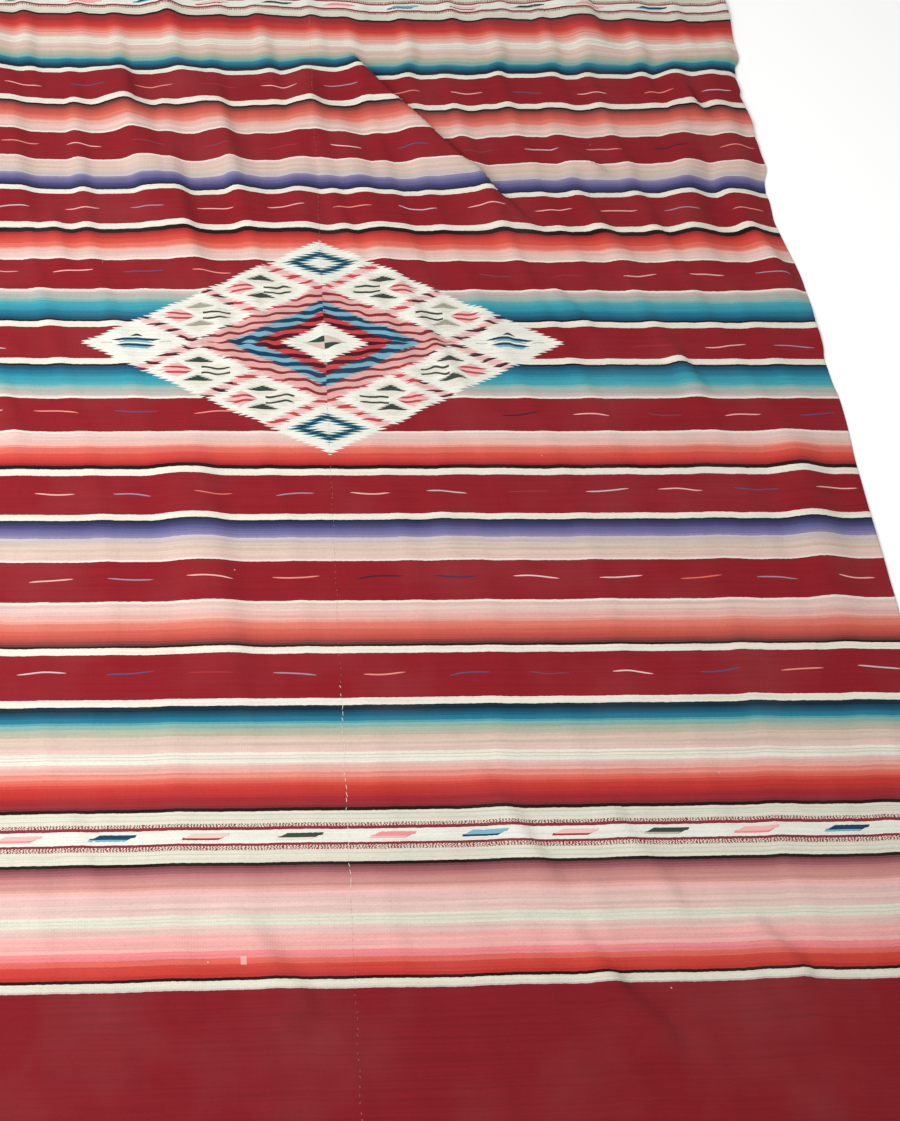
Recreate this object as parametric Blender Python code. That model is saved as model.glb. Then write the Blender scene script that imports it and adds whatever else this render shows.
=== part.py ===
"""A laid-out woven serape: two loom-width panels joined along a lengthwise seam.

Both panels lie on one surface with their undersides at z = 0. X runs across the blanket,
Y along it and Z up, and the middle of the seam is at the origin. The blanket was laid by
hand, so its seam leans a little off square to the stripes. The cloth keeps its own length
over each fold, so folded stretches are drawn in towards the seam and the middle.
"""

from typing import NamedTuple

import bpy
import numpy as np

# Driving sizes, in metres.
LOOM_WIDTH = 0.75
LENGTH = 2.10
CLOTH = 0.002
SEAM_GAP = 0.0003

# How far the seam moves across for each metre along it.
LEAN = -0.056

# The grid of one panel: steps from the seam to the selvedge, and the steps along each
# stretch of its length, closest where the cloth is most rippled.
STEPS_ACROSS = 24
MOST_RIPPLED = (0.12, 0.64)
LESS_RIPPLED = (-0.60, -0.16)

# How far a fold takes to die away past each end of its crest, and the lift under which
# the cloth lies flat.
FADE = 0.11
LEAST_LIFT = 0.0004

WOOL_RED = (0.262, 0.019, 0.026, 1.0)
WOOL_ROUGHNESS = 0.92


class Fold(NamedTuple):
    """One soft ridge of the laid cloth, on the flat panel's own sizes in metres.

    The crest runs straight from (start_across, start_along) to (end_across, end_along),
    and the cloth falls to the surface within left_flank and right_flank of it, as seen
    looking from the start of the crest to its end.
    """

    start_across: float
    start_along: float
    end_across: float
    end_along: float
    start_height: float
    end_height: float
    left_flank: float
    right_flank: float


FOLDS = (
    # start across, along, end across, along, heights, left and right flanks
    Fold(0.097, 0.540, 0.302, 0.265, 0.021, 0.014, 0.035, 0.085),  # the long slanting tuck
    Fold(-0.330, 0.500, -0.215, 0.190, 0.016, 0.012, 0.055, 0.055),
    Fold(-0.200, 0.520, -0.100, 0.240, 0.012, 0.008, 0.050, 0.050),
    Fold(-0.010, 0.520, -0.028, 0.260, 0.014, 0.009, 0.050, 0.050),
    Fold(0.045, 0.400, 0.100, 0.210, 0.008, 0.010, 0.045, 0.045),
    Fold(0.640, 0.540, 0.600, 0.200, 0.013, 0.012, 0.050, 0.045),
    Fold(0.705, 0.560, 0.705, 0.130, 0.013, 0.010, 0.045, 0.045),
    Fold(-0.200, -0.240, -0.150, -0.480, 0.011, 0.008, 0.060, 0.060),
    Fold(0.665, -0.210, 0.665, -0.380, 0.011, 0.008, 0.055, 0.055),
    Fold(-0.560, 0.620, -0.500, 0.280, 0.013, 0.010, 0.060, 0.055),
    Fold(-0.690, 0.300, -0.680, 0.020, 0.009, 0.010, 0.055, 0.050),
    Fold(0.400, 0.900, 0.480, 0.660, 0.011, 0.013, 0.060, 0.055),
    Fold(-0.330, 0.920, -0.260, 0.720, 0.013, 0.010, 0.060, 0.055),
    Fold(-0.620, -0.300, -0.570, -0.540, 0.010, 0.009, 0.060, 0.055),
)


def bell(distance, reach):
    """Return a smooth bump that is 1 at no distance and 0 from reach outwards."""
    return 0.5 + 0.5 * np.cos(np.pi * np.clip(np.abs(distance) / reach, 0.0, 1.0))


def fold_height(fold, across, along):
    """Return how high one fold lifts the cloth at each flat place."""
    start = np.array([fold.start_across, fold.start_along])
    crest = np.array([fold.end_across, fold.end_along]) - start
    length = np.hypot(*crest)
    ahead = crest / length
    on_crest = (across - start[0]) * ahead[0] + (along - start[1]) * ahead[1]
    to_right = (across - start[0]) * ahead[1] - (along - start[1]) * ahead[0]
    share = np.clip(on_crest / length, 0.0, 1.0)
    height = fold.start_height + (fold.end_height - fold.start_height) * share
    past_end = on_crest - share * length
    flank = np.where(to_right < 0.0, fold.left_flank, fold.right_flank)
    return height * bell(to_right, flank) * bell(past_end, FADE)


def lift(across, along):
    """Return the height of the cloth's underside above the surface it lies on."""
    height = sum(fold_height(fold, across, along) for fold in FOLDS)
    return np.where(height < LEAST_LIFT, 0.0, height)


def drawn_in(flat, height, axis, anchor):
    """Return where flat distances come to lie when each step of cloth keeps its length."""
    step = np.diff(flat, axis=axis)
    rise = np.diff(height, axis=axis)
    laid = np.sqrt(step**2 - rise**2) * np.sign(step)
    first = np.zeros_like(np.take(flat, [0], axis=axis))
    run = np.concatenate([first, np.cumsum(laid, axis=axis)], axis=axis)
    return run - np.take(run, [anchor], axis=axis)


def rows_along():
    """Return the flat places of the grid's rows, from the near end to the far end."""
    stretches = (
        # from, to, steps
        (-LENGTH / 2, LESS_RIPPLED[0], 4),
        (LESS_RIPPLED[0], LESS_RIPPLED[1], 12),
        (LESS_RIPPLED[1], 0.0, 3),
        (0.0, MOST_RIPPLED[0], 3),
        (MOST_RIPPLED[0], MOST_RIPPLED[1], 20),
        (MOST_RIPPLED[1], LENGTH / 2, 8),
    )
    runs = [np.linspace(low, high, steps, endpoint=False) for low, high, steps in stretches]
    return np.append(np.concatenate(runs), LENGTH / 2)


def panel_points(side, rows):
    """Return the underside and top points of one panel, side -1 for left or 1 for right."""
    columns = side * np.linspace(0.0, LOOM_WIDTH, STEPS_ACROSS + 1)
    across, along = np.meshgrid(columns, rows)
    height = lift(across, along)
    middle = int(np.argmin(np.abs(rows)))
    y = drawn_in(along, height, axis=0, anchor=middle)
    x = drawn_in(across, height, axis=1, anchor=0) + side * SEAM_GAP / 2 + LEAN * y
    under = np.stack([x, y, height], axis=-1).reshape(-1, 3)
    top = under + np.array([0.0, 0.0, CLOTH])
    return np.concatenate([under, top])


def panel_faces(side, row_count):
    """Return the faces of one panel, wound to face outwards: underside, top and rim."""
    layer = row_count * (STEPS_ACROSS + 1)
    grid = np.arange(layer).reshape(row_count, STEPS_ACROSS + 1)
    a, b = grid[:-1, :-1].ravel(), grid[:-1, 1:].ravel()
    c, d = grid[1:, 1:].ravel(), grid[1:, :-1].ravel()
    top = np.stack([a, b, c, d], axis=1) + layer
    under = np.stack([a, d, c, b], axis=1)
    loop = np.concatenate([grid[0], grid[1:, -1], grid[-1, -2::-1], grid[-2:0:-1, 0]])
    after = np.roll(loop, -1)
    rim = np.stack([loop, after, after + layer, loop + layer], axis=1)
    faces = np.concatenate([under, top, rim])
    return faces if side > 0 else faces[:, ::-1]


def wool(name):
    """Return a plain matt woollen material."""
    material = bpy.data.materials.new(name)
    material.use_nodes = True
    shader = material.node_tree.nodes["Principled BSDF"]
    shader.inputs["Base Color"].default_value = WOOL_RED
    shader.inputs["Roughness"].default_value = WOOL_ROUGHNESS
    shader.inputs["Metallic"].default_value = 0.0
    material.diffuse_color = WOOL_RED
    return material


def make_panel(name, side):
    """Add one panel of the blanket to the scene as a closed, rippled wall of cloth."""
    rows = rows_along()
    mesh = bpy.data.meshes.new(name)
    points = panel_points(side, rows)
    mesh.from_pydata(points.tolist(), [], panel_faces(side, len(rows)).tolist())
    mesh.materials.append(wool(f"{name}_wool"))
    mesh.shade_smooth()
    mesh.set_sharp_from_angle(angle=np.radians(50.0))
    panel = bpy.data.objects.new(name, mesh)
    bpy.context.scene.collection.objects.link(panel)


def main():
    """Clear the scene and build the two panels."""
    for old in list(bpy.data.objects):
        bpy.data.objects.remove(old, do_unlink=True)
    make_panel("panel_left", side=-1)
    make_panel("panel_right", side=1)


main()
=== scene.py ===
"""A woven serape of two loom widths sewn along a middle seam, laid out on a pale floor.

The two cloth panels are thin closed shells on one laid form. Their wefts are drawn by one
woven material that reads each panel's own flat sizes, so the stripes and the medallion bend
with the cloth. The short inlaid picks and the seam thread are pieces of their own.
"""

import logging
import math
from collections.abc import Callable, Sequence
from dataclasses import dataclass, field
from enum import Enum
from typing import NamedTuple

import bpy
import numpy as np
from mathutils import Matrix, Vector


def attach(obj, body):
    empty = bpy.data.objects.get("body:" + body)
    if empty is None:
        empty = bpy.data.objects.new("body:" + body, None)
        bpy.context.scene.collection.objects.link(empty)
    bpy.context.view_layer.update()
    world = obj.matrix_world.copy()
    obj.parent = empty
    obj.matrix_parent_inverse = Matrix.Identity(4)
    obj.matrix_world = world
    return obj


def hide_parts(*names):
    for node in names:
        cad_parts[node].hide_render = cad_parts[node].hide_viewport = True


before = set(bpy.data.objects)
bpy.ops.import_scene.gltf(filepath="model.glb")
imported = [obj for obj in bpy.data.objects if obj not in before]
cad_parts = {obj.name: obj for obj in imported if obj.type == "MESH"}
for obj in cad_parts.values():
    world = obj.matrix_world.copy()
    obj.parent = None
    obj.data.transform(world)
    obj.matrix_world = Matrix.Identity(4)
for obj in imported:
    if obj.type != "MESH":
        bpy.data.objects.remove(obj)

log = logging.getLogger("serape")
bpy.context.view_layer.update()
FLAT_MAP = "flat_cloth"
YARN_LAYER = "yarn_colour"
WOOL_RETURN = 0.80  # the share of a clean dye's colour that matt wool gives back
SHADE_SWING = 0.025  # how far a stripe may be lighter or darker than an even shade
STEEPEST = 0.35  # the least share of its flat length that a step of cloth may cover


# ---- yarns and stripes


class Yarn(Enum):
    """The dyed wools, each as its display colour in red, green and blue from 0 to 255."""

    MADDER = (151, 31, 41)
    WINE = (140, 31, 39)
    CHALK = (249, 249, 238)
    IVORY = (248, 243, 228)
    BONE = (236, 234, 216)
    FLAX = (221, 217, 200)
    COAL = (38, 22, 18)
    INK = (24, 46, 60)
    DEEP_BLUE = (24, 82, 108)
    LAGOON = (40, 136, 160)
    TURQUOISE = (62, 166, 184)
    SEAFOAM = (132, 186, 183)
    DOVE = (188, 188, 182)
    ROSE_GREY = (214, 198, 194)
    SHELL = (239, 205, 196)
    BLUSH = (242, 186, 173)
    ROSE_WHITE = (244, 196, 192)
    PETAL = (236, 178, 172)
    SALMON = (240, 150, 134)
    CORAL = (236, 112, 98)
    VERMILION = (219, 78, 66)
    SCARLET = (202, 58, 54)
    CRIMSON = (170, 46, 52)
    MAROON = (138, 48, 54)
    APRICOT = (232, 126, 110)
    TERRACOTTA = (216, 99, 85)
    BRICK = (196, 82, 72)
    CLAY = (174, 76, 70)
    RUSSET = (108, 56, 54)
    AUBERGINE = (54, 51, 92)
    VIOLET = (99, 98, 152)
    LAVENDER = (146, 138, 176)
    SLATE = (88, 82, 122)
    HAZE = (160, 144, 164)
    LILAC = (206, 196, 198)
    SAND = (224, 202, 190)
    TEAL = (36, 110, 140)
    JADE = (92, 158, 162)
    SAGE = (158, 184, 168)
    STONE = (194, 192, 172)
    TAN = (228, 203, 187)
    PLUM = (127, 67, 75)
    HEATHER = (180, 110, 114)
    DUSTY_PINK = (214, 150, 144)
    ROSE = (250, 184, 178)
    HOT_PINK = (250, 146, 148)
    PALE_BLUE = (126, 182, 202)
    NAVY = (16, 66, 96)
    POPPY = (206, 70, 76)
    CHERRY = (150, 50, 62)
    DARK_RED = (78, 18, 26)
    GREY_GREEN = (58, 72, 66)
    FADED_GREEN = (170, 168, 150)
    CREAM = (240, 235, 220)
    NIGHT = (46, 34, 52)

    @property
    def linear(self) -> tuple[float, float, float, float]:
        """Return the colour as scene-linear red, green, blue and alpha."""
        return to_linear(self.value)


def to_linear(shown: Sequence[float]) -> tuple[float, float, float, float]:
    """Turn a display colour into a scene-linear one, by the sRGB curve.

    Args:
        shown: red, green and blue from 0 to 255.

    Returns:
        Linear red, green, blue as the wool gives them back, and an alpha of 1.
    """
    share = np.asarray(shown, float) / 255.0
    line = np.where(share <= 0.04045, share / 12.92, ((share + 0.055) / 1.055) ** 2.4)
    line = line * WOOL_RETURN
    return (float(line[0]), float(line[1]), float(line[2]), 1.0)


class Band(NamedTuple):
    """A run of weft, alike on both sides of the middle.

    It reaches to `reach` metres from the middle and passes through `yarns` in even shades,
    in `stripes` stripes.
    """

    reach: float
    yarns: tuple[Yarn, ...]
    stripes: int = 1


Y = Yarn


def ribbed(white: Yarn, *reaches: float) -> tuple[Band, ...]:
    """Return white stripes parted by thin flax ones, from where each ends."""
    return tuple(Band(reach, (Y.FLAX if k % 2 else white,)) for k, reach in enumerate(reaches))


BANDS = (
    Band(0.0278, (Y.MADDER,)),
    Band(0.0375, (Y.IVORY,)),
    Band(0.0410, (Y.COAL,)),
    Band(0.0840, (Y.DEEP_BLUE, Y.TEAL, Y.LAGOON, Y.TURQUOISE, Y.TURQUOISE, Y.SEAFOAM, Y.DOVE), 12),
    Band(0.0935, (Y.DOVE, Y.ROSE_GREY), 3),
    Band(0.0963, (Y.IVORY,)),
    Band(0.1519, (Y.MADDER,)),
    Band(0.1550, (Y.IVORY,)),
    Band(0.1750, (Y.SHELL, Y.SHELL, Y.BLUSH), 4),
    Band(0.2070, (Y.SALMON, Y.CORAL, Y.CORAL, Y.VERMILION, Y.VERMILION, Y.SCARLET, Y.CRIMSON), 10),
    Band(0.2125, (Y.COAL,)),
    Band(0.2228, (Y.IVORY,)),
    Band(0.2834, (Y.MADDER,)),
    Band(0.2921, (Y.IVORY,)),
    Band(0.2955, (Y.INK,)),
    Band(0.3190, (Y.AUBERGINE, Y.VIOLET, Y.LAVENDER), 7),
    Band(0.3515, (Y.LILAC, Y.SAND, Y.TAN, Y.SHELL), 8),
    Band(0.3542, (Y.IVORY,)),
    Band(0.4122, (Y.MADDER,)),
    Band(0.4155, (Y.IVORY,)),
    Band(0.4360, (Y.SHELL, Y.SHELL, Y.BLUSH), 4),
    Band(0.4738, (Y.BLUSH, Y.SALMON, Y.APRICOT, Y.APRICOT, Y.TERRACOTTA, Y.TERRACOTTA,
                  Y.BRICK, Y.CLAY, Y.RUSSET), 12),
    Band(0.4766, (Y.COAL,)),
    Band(0.4856, (Y.IVORY,)),
    Band(0.5459, (Y.MADDER,)),
    Band(0.5549, (Y.IVORY,)),
    Band(0.5585, (Y.INK,)),
    Band(0.5900, (Y.INK, Y.DEEP_BLUE, Y.TEAL, Y.LAGOON, Y.SEAFOAM, Y.SAGE, Y.STONE), 11),
    Band(0.5945, (Y.STONE,)),
    Band(0.6153, (Y.TAN, Y.TAN, Y.SHELL), 5),
    *ribbed(Y.IVORY, 0.6187, 0.6198, 0.6226, 0.6237, 0.6285),
    Band(0.6435, (Y.SHELL, Y.BLUSH, Y.BLUSH, Y.SALMON), 5),
    Band(0.6840, (Y.SALMON, Y.CORAL, Y.VERMILION, Y.SCARLET, Y.SCARLET, Y.CRIMSON,
                  Y.CRIMSON, Y.MAROON), 12),
    Band(0.6880, (Y.COAL,)),
    *ribbed(Y.BONE, 0.6915, 0.6927, 0.6970, 0.6982, 0.7025),
    Band(0.7065, (Y.DUSTY_PINK,)),
    Band(0.7100, (Y.CHERRY,)),
    Band(0.7257, (Y.CHALK,)),
    Band(0.7290, (Y.CHERRY,)),
    Band(0.7340, (Y.DUSTY_PINK,)),
    *ribbed(Y.BONE, 0.7380, 0.7392, 0.7435, 0.7447, 0.7485),
    Band(0.7520, (Y.COAL,)),
    Band(0.7820, (Y.PLUM, Y.HEATHER, Y.DUSTY_PINK, Y.DUSTY_PINK, Y.BLUSH), 10),
    Band(0.8080, (Y.ROSE_WHITE, Y.SHELL, Y.SHELL), 6),
    *ribbed(Y.BONE, 0.8115, 0.8125, 0.8155, 0.8165, 0.8200),
    Band(0.8340, (Y.SHELL, Y.SHELL, Y.ROSE), 4),
    Band(0.8480, (Y.ROSE,), 3),
    Band(0.8560, (Y.HOT_PINK,), 2),
    Band(0.8620, (Y.CORAL,), 2),
    Band(0.8765, (Y.VERMILION, Y.SCARLET), 4),
    Band(0.8800, (Y.COAL,)),
    Band(0.8880, (Y.BONE,)),
    Band(0.8900, (Y.ROSE_GREY,)),
    Band(1.0500, (Y.WINE,)),
)
SPECKLED = ((0.7025, 0.7065), (0.7290, 0.7340))  # where dark and pale picks alternate
CROWDED = ((0.190, 0.024, 0.0040), (0.455, 0.026, 0.0045))  # place, reach and most shift


def stripes_of(bands: Sequence[Band]) -> list[tuple[float, tuple]]:
    """Cut bands into stripes of one colour.

    A stripe's colour lies evenly between its band's yarns in order, and is a few parts in a
    hundred lighter or darker than that, by the sine of its number.

    Args:
        bands: the bands from the middle outwards.

    Returns:
        Where each stripe starts, in metres from the middle, and its linear colour.
    """
    stripes, start = [], 0.0
    for band in bands:
        shades = np.array([yarn.value for yarn in band.yarns], float)
        places = np.linspace(0.0, len(shades) - 1, band.stripes) if band.stripes > 1 else [0.0]
        for number, place in enumerate(places):
            shade = np.array(
                [np.interp(place, np.arange(len(shades)), shades[:, tone]) for tone in range(3)]
            )
            if band.stripes > 1:
                swing = 1.0 + SHADE_SWING * math.sin(2.4 * number + 40 * band.reach)
                shade = np.clip(shade * swing, 0, 255)
            at = start + (band.reach - start) * number / band.stripes
            stripes.append((at, to_linear(shade)))
        start = band.reach
    return stripes


# ---- shader expressions


def maths(operation: str, about: str) -> "Callable[..., Value]":
    """Make a method of Value that adds one Math node.

    Args:
        operation: the node's operation.
        about: the method's docstring.

    Returns:
        The method. Its other term, where it has one, is a Value or a number.
    """

    def method(self: "Value", *other: "Value | float") -> "Value":
        """Return the operation's result."""
        return self.recipe.math(operation, self, *other)

    method.__doc__ = about
    return method


class Value:
    """A number that varies over a surface: a socket whose arithmetic adds Math nodes."""

    __add__ = __radd__ = maths("ADD", "Return this plus other.")
    __mul__ = __rmul__ = maths("MULTIPLY", "Return this times other.")
    __sub__ = maths("SUBTRACT", "Return this less other.")
    __truediv__ = maths("DIVIDE", "Return this divided by other.")
    __abs__ = maths("ABSOLUTE", "Return this without its sign.")
    __gt__ = maths("GREATER_THAN", "Return 1 where this is greater than other, else 0.")
    __lt__ = maths("LESS_THAN", "Return 1 where this is less than other, else 0.")
    most = maths("MAXIMUM", "Return the greater of this and other.")
    least = maths("MINIMUM", "Return the smaller of this and other.")
    rest = maths("FRACT", "Return what is left of this over its whole number.")
    whole = maths("FLOOR", "Return the whole number at or under this.")
    sine = maths("SINE", "Return the sine of this.")
    sign = maths("SIGN", "Return 1 where this is above 0 and -1 where it is under 0.")

    def __init__(self, recipe: "Recipe", socket: bpy.types.NodeSocket) -> None:
        """Wrap a socket of a recipe's node tree."""
        self.recipe, self.socket = recipe, socket

    def __rsub__(self, other: float) -> "Value":
        """Return other less this."""
        return self.recipe.math("SUBTRACT", other, self)

    def between(self, low: "Value | float", high: "Value | float") -> "Value":
        """Return 1 where this lies between low and high, and 0 elsewhere."""
        return (self > low) * (self < high)


class Grain(NamedTuple):
    """A soft noise: its features to a metre each way, its detail, and the most that it does."""

    across: float
    along: float
    detail: float = 2.0
    swing: float = 1.0


Colour = bpy.types.NodeSocket | tuple[float, float, float, float] | Yarn
Pair = tuple[float, float]


class Recipe:
    """A material written as expressions, which end in one principled shader."""

    def __init__(self, name: str) -> None:
        """Start a material with a principled shader and nothing else."""
        self.material = bpy.data.materials.new(name)
        self.material.use_nodes = True
        self.tree = self.material.node_tree
        self.tree.nodes.clear()
        self.shader = self.node("ShaderNodeBsdfPrincipled")
        self.node("ShaderNodeOutputMaterial", inputs={"Surface": self.shader.outputs[0]})

    def node(
        self, kind: str, settings: dict | None = None, inputs: dict | None = None
    ) -> bpy.types.Node:
        """Add one node.

        Args:
            kind: the node's type.
            settings: its properties, set first; "stops" fills a ramp with (place, colour).
            inputs: values, yarns or sockets for its sockets, by name or number.

        Returns:
            The node.
        """
        node = self.tree.nodes.new(kind)
        for name, setting in (settings or {}).items():
            if name == "stops":
                self._fill_ramp(node.color_ramp, setting)
            elif name == "interpolation":
                node.color_ramp.interpolation = setting
            else:
                setattr(node, name, setting)
        for key, item in (inputs or {}).items():
            self.feed(node.inputs[key], item)
        return node

    @staticmethod
    def _fill_ramp(ramp: bpy.types.ColorRamp, stops: Sequence[tuple]) -> None:
        """Set a ramp's stops from (place, colour) pairs in rising order."""
        while len(ramp.elements) > 1:
            ramp.elements.remove(ramp.elements[-1])
        ramp.elements[0].position, ramp.elements[0].color = stops[0]
        for place, colour in stops[1:]:
            ramp.elements.new(place).color = colour

    def feed(self, socket: bpy.types.NodeSocket, item: object) -> None:
        """Link or set one input socket."""
        if isinstance(item, Value):
            item = item.socket
        if isinstance(item, Yarn):
            item = item.linear
        if isinstance(item, bpy.types.NodeSocket):
            self.tree.links.new(item, socket)
        else:
            socket.default_value = item

    def dress(self, **inputs: object) -> bpy.types.Material:
        """Feed the shader's sockets, by their names with _ for a space, and return the material."""
        for name, item in inputs.items():
            self.feed(self.shader.inputs[name.replace("_", " ")], item)
        return self.material

    def math(self, operation: str, *terms: "Value | float") -> Value:
        """Return a Math node's result on one or two terms."""
        node = self.node("ShaderNodeMath", {"operation": operation}, dict(enumerate(terms)))
        return Value(self, node.outputs[0])

    def mix(
        self, share: Value | float, first: Colour, second: Colour, blend: str = "MIX"
    ) -> Colour:
        """Return first where share is 0, passing to second, or second blended in, where it is 1."""
        settings = {"data_type": "RGBA", "blend_type": blend}
        node = self.node("ShaderNodeMix", settings, {0: share, 6: first, 7: second})
        return node.outputs[2]

    def ramp(self, place: Value, stops: Sequence[tuple]) -> Colour:
        """Return the colour at a place from 0 to 1 of a ramp in flat steps."""
        settings = {"interpolation": "CONSTANT", "stops": stops}
        return self.node("ShaderNodeValToRGB", settings, {0: place}).outputs[0]

    def noise(self, across: Value, along: Value, grain: Grain) -> Value:
        """Return soft noise of a grain, from 0 to 1, at a place across and along."""
        scaled = {0: across * grain.across, 1: along * grain.along}
        place = self.node("ShaderNodeCombineXYZ", inputs=scaled)
        inputs = {"Vector": place.outputs[0], "Scale": 1.0, "Detail": grain.detail}
        return Value(self, self.node("ShaderNodeTexNoise", inputs=inputs).outputs[0])

    def wander(self, across: Value, along: Value, grain: Grain) -> Value:
        """Return how far a noise of a grain moves a thing there, about 0."""
        return (self.noise(across, along, grain) - 0.5) * grain.swing

    def flat_place(self) -> tuple[Value, Value]:
        """Return the place on the flat cloth: metres across from the seam and along."""
        laid = self.node("ShaderNodeUVMap", {"uv_map": FLAT_MAP})
        parts = self.node("ShaderNodeSeparateXYZ", inputs={0: laid.outputs[0]})
        return Value(self, parts.outputs[0]), Value(self, parts.outputs[1])

    def bump(self, height: Value, depth: float, strength: float) -> bpy.types.NodeSocket:
        """Return a normal raised by height, which runs from 0 to 1 over depth metres."""
        inputs = {"Strength": strength, "Distance": depth, "Height": height}
        return self.node("ShaderNodeBump", inputs=inputs).outputs[0]


# ---- finishes


@dataclass(frozen=True)
class Medallion:
    """The lozenge woven over the seam: a rim of twelve cells round a centre of nested zones.

    Its measure m is half the sum of the distance across over `cell_across` and the distance
    along over `cell_along`, so each zone's edge is a lozenge of one m. Cells sit on the same
    lattice, and every edge is toothed by a wave of the distance along. Edges and halves of
    cells are in m, shares are parts of a weft line's pitch, and the rest are metres. A line
    is how far its middle lies off its cell's, and half its width.
    """

    cell_across: float = 0.0925
    cell_along: float = 0.049
    rim_edge: float = 1.93
    centre_edge: float = 1.02
    blue_edge: float = 0.775
    coral_edge: float = 0.56
    ivory_edge: float = 0.345
    heart_edge: float = 0.2
    cell_half: float = 0.43
    cell_border: float = 0.305
    cross_half: float = 0.034
    tooth: float = 0.0047
    tooth_reach: float = 0.064
    line_pitch: float = 0.0142
    line_sway: Grain = Grain(22.0, 14.0, 1.0, 0.026)
    line_lean: float = 0.10
    line_step: float = 0.0016
    dark_share: float = 0.50
    pink_share: float = 0.34
    channel_share: float = 0.38
    night_share: float = 0.22
    outer_channels: float = 0.135
    red_line: Pair = (0.0032, 0.0019)
    grey_line: Pair = (0.0048, 0.0016)
    grey_sway: Grain = Grain(30.0, 18.0, 1.0, 0.016)
    grey_run: Pair = (0.004, 0.046)
    crown_seat: float = 0.0160
    crown_span: Pair = (-0.0018, 0.0076)
    crown_spikes: Pair = (0.0023, 0.014)
    faded_crowns: float = 0.15
    arcs: tuple[Pair, ...] = ((0.0098, 1.0), (-0.0010, 0.86))
    arc_deep: float = 0.0042
    arc_lining: float = 0.0080
    arc_reach: float = 0.030
    speck_span: Pair = (0.0125, 0.0165)
    ring_half: Pair = (0.054, 0.0235)
    wedge_span: Pair = (0.001, 0.0105)
    wedge_tip: float = 0.0125

    def weave(self, r: Recipe, u: Value, v: Value, cloth: Colour) -> Colour:
        """Lay the medallion over the striped cloth.

        Args:
            r: the recipe it is drawn in.
            u: metres across from the seam.
            v: metres along from the middle.
            cloth: the striped cloth's colour.

        Returns:
            The cloth's colour with the medallion on it.
        """
        s, t = self.cell_across, self.cell_along
        tooth = (abs((v / self.tooth).rest() - 0.5) * 2.0 - 0.5) * self.tooth_reach
        p, q = (u / s + v / t) * 0.5, (u / s - v / t) * 0.5
        m = abs(p).most(abs(q)) + tooth
        dp, dq = p.rest() - 0.5, q.rest() - 0.5
        du, dv = (dp + dq) * s, (dp - dq) * t
        cell = abs(dp).most(abs(dq)) + tooth

        lines = self._lines(r, u, v)
        colour = self._channels(r, u, lines)
        inside = self._side_cell(r, u, v, du, dv, dp, dq)
        inside = r.mix(self._is_corner(p, q, 1.0), inside, self._end_cell(r, du, dv, tooth))
        inside = r.mix(self._is_corner(p, q, -1.0), inside, self._crown_cell(r, du, dv, tooth))
        rim = r.mix(cell < self.cell_border, Y.CHALK, inside)
        colour = r.mix(cell < self.cell_half, colour, rim)
        colour = r.mix(m < self.centre_edge, colour, self._centre(r, u, v, m, lines))
        return r.mix(m < self.rim_edge, cloth, colour)

    @staticmethod
    def _is_corner(p: Value, q: Value, side: float) -> Value:
        """Return 1 in the two end cells across, side 1, or the two along, side -1."""
        return (abs(p) > 1.0) * (abs(q) > 1.0) * ((p * q * side) > 0.0)

    def _lines(self, r: Recipe, u: Value, v: Value) -> Value:
        """Return a rising wave, 0 to 1, that repeats at each weft line of the centre."""
        sway = r.noise(u, v, self.line_sway) * self.line_sway.swing
        sway = sway - abs(u) * self.line_lean * v.sign()
        return ((v - (sway + u.sign() * self.line_step)) / self.line_pitch).rest()

    def _channels(self, r: Recipe, u: Value, lines: Value) -> Colour:
        """Return the pink channels between cells, with a short dark or coral pick in each."""
        outer = abs(u) > self.outer_channels
        pick = r.mix(outer, Y.POPPY, Y.MAROON)
        pick = r.mix(outer * (lines < self.night_share), pick, Y.NIGHT)
        return r.mix(lines < self.channel_share, Y.ROSE_WHITE, pick)

    def _side_cell(
        self, r: Recipe, u: Value, v: Value, du: Value, dv: Value, dp: Value, dq: Value
    ) -> Colour:
        """Return a rim cell's inside: a cross that parts two lined and two crowned lozenges.

        Args:
            r: the recipe it is drawn in.
            u: metres across from the seam.
            v: metres along from the middle.
            du: metres across from the cell's middle.
            dv: metres along from the cell's middle.
            dp: the place on the lattice's first slant, from the cell's middle.
            dq: the place on its second slant.

        Returns:
            The colour.
        """
        spread = abs(du) * 0.10 * 0.35
        red = abs(abs(dv) - self.red_line[0] - spread) < self.red_line[1]
        outer = r.mix(red, Y.ROSE_WHITE, Y.POPPY)
        lined = r.mix((du * u) > 0.0, Y.CREAM, outer)
        height = (abs(dv) - self.crown_seat) * dv.sign()
        low, high = self.crown_span
        pitch, tall = self.crown_spikes
        spike = abs((dv / pitch).rest() - 0.5) * tall
        crown = height.between(low, high) * (abs(du) < (high - height) * 2.3 + spike - 0.002)
        tone = r.mix((abs(u) > self.faded_crowns) * (v > 0.0), Y.GREY_GREEN, Y.FADED_GREEN)
        crowned = r.mix(crown, r.mix(crown, Y.CREAM, Y.SAND), tone)
        inside = r.mix((dp * dq) > 0.0, crowned, lined)
        inside = r.mix(abs(dp).least(abs(dq)) < self.cross_half, inside, Y.CHALK)
        swing = self.grey_sway.swing
        sway = r.noise(u, v, self.grey_sway) * swing - swing / 2
        grey = abs(abs(dv + sway) - self.grey_line[0]) < self.grey_line[1]
        inwards = (du * u.sign() * -1.0).between(*self.grey_run)
        return r.mix(grey * inwards, inside, Y.GREY_GREEN)

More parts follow.
